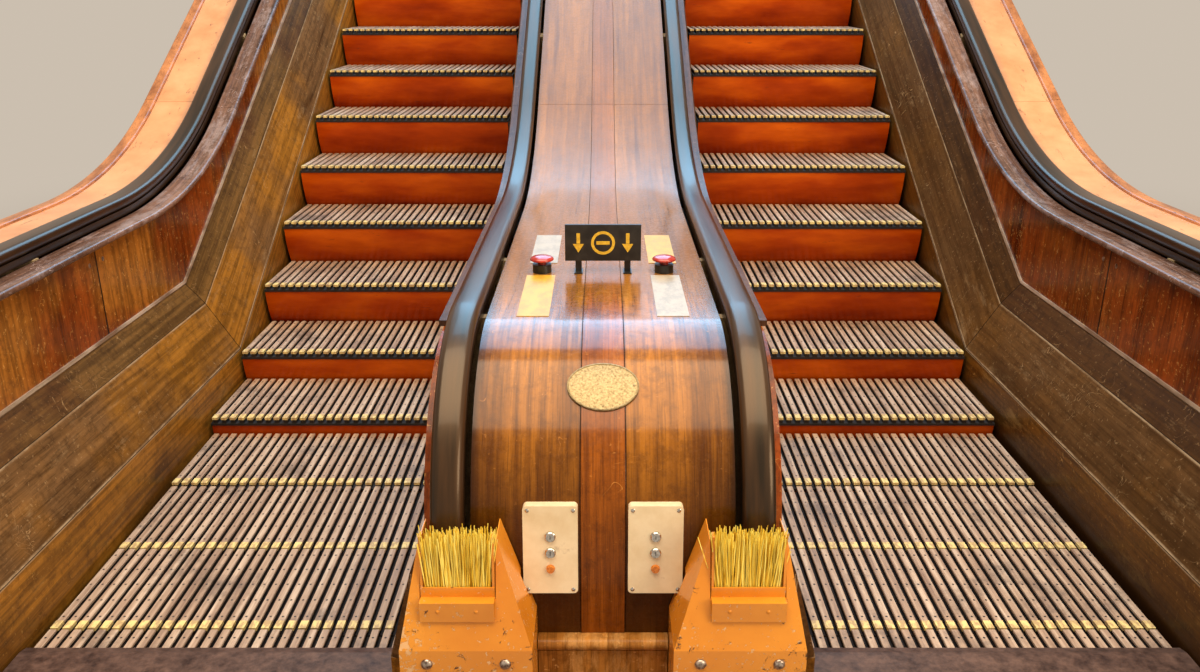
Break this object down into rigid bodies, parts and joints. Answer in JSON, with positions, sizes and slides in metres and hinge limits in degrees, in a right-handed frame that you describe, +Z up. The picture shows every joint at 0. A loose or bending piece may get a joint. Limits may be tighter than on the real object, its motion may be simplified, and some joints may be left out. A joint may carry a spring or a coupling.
{
  "type": "escalator",
  "caption": "Twin wooden-slatted escalator with curved orange risers, panelled balustrades, black handrails and a shared rounded centre unit with stop buttons.",
  "frame": {"origin": "middle of the machine's box in plan, on the level floor that its pit base and column feet stand on", "axes": "+X across the machine to the right of a person riding up, +Y along the travel towards the upper landing, +Z up"},
  "size_m": [4.1, 9.4297, 4.27],
  "materials": {
    "tread_wood": "worn, pale at the noses",
    "riser_enamel": "gloss orange enamel",
    "dark_wood": "scratched varnish",
    "skirt_wood": "worn varnish",
    "deck_wood": "polished varnish",
    "ledge_wood": "worn bare edge",
    "bead_metal": "worn",
    "handrail_rubber": "polished by hands",
    "deck_enamel": "satin orange enamel",
    "guard_enamel": "chipped gloss enamel",
    "bristle": "stiff fibre",
    "plate_cream": "satin",
    "plate_yellow": "satin",
    "switch_steel": "polished",
    "lamp_plastic": "gloss",
    "brass": "dull",
    "button_red": "gloss",
    "sign_black": "satin",
    "comb_metal": "worn",
    "steelwork": "matt grey paint",
    "frame_wood": "plain timber"
  },
  "bodies": {
    "machine": {"left_treads": "tread_wood", "right_treads": "tread_wood", "left_risers": "riser_enamel", "right_risers": "riser_enamel", "step_frames": "steelwork", "step_rails": "steelwork", "comb_plates": "comb_metal", "floor_plates": "comb_metal", "outer_skirts": "skirt_wood", "outer_bevels": "skirt_wood", "outer_upper_bevels": "skirt_wood", "outer_beads": "bead_metal", "outer_panels": "dark_wood", "outer_ledges": "ledge_wood", "outer_handrails": "handrail_rubber", "outer_decks": "deck_enamel", "outer_trims": "deck_enamel", "outer_cladding": "dark_wood", "centre_skirts": "skirt_wood", "centre_bevels": "skirt_wood", "centre_upper_bevels": "skirt_wood", "centre_beads": "bead_metal", "centre_side_panels": "dark_wood", "centre_trims": "ledge_wood", "centre_handrails": "handrail_rubber", "handrail_tracks": "steelwork", "centre_deck_boards": "deck_wood", "centre_strip": "deck_wood", "outer_end_boards": "dark_wood", "plinths": "deck_wood", "handrail_guards": "guard_enamel", "brush_holders": "guard_enamel", "brushes": "bristle", "control_plates": "plate_cream", "key_switches": "switch_steel", "lamps": "lamp_plastic", "oval_plates": "brass", "button_bases": "sign_black", "sign_board": "sign_black", "sign_feet": "sign_black", "cream_labels": "plate_cream", "yellow_labels": "plate_yellow", "centre_frames": "frame_wood", "outer_frames": "frame_wood", "truss_chords": "steelwork", "cross_beams": "steelwork", "soffit": "steelwork", "end_plates": "steelwork", "trestles": "steelwork", "trestle_ties": "steelwork"},
    "left_button": {"left_stop_button": "button_red"},
    "right_button": {"right_stop_button": "button_red"}
  },
  "joints": [
    {"name": "left_stop_press", "type": "slide", "parent": "machine", "child": "left_button", "axis": [0, 0, 1], "range_m": [-0.008, 0], "stiffness_N_per_m": 600, "springref_m": 0.006},
    {"name": "right_stop_press", "type": "slide", "parent": "machine", "child": "right_button", "axis": [0, 0, 1], "range_m": [-0.008, 0], "stiffness_N_per_m": 600, "springref_m": 0.006}
  ]
}
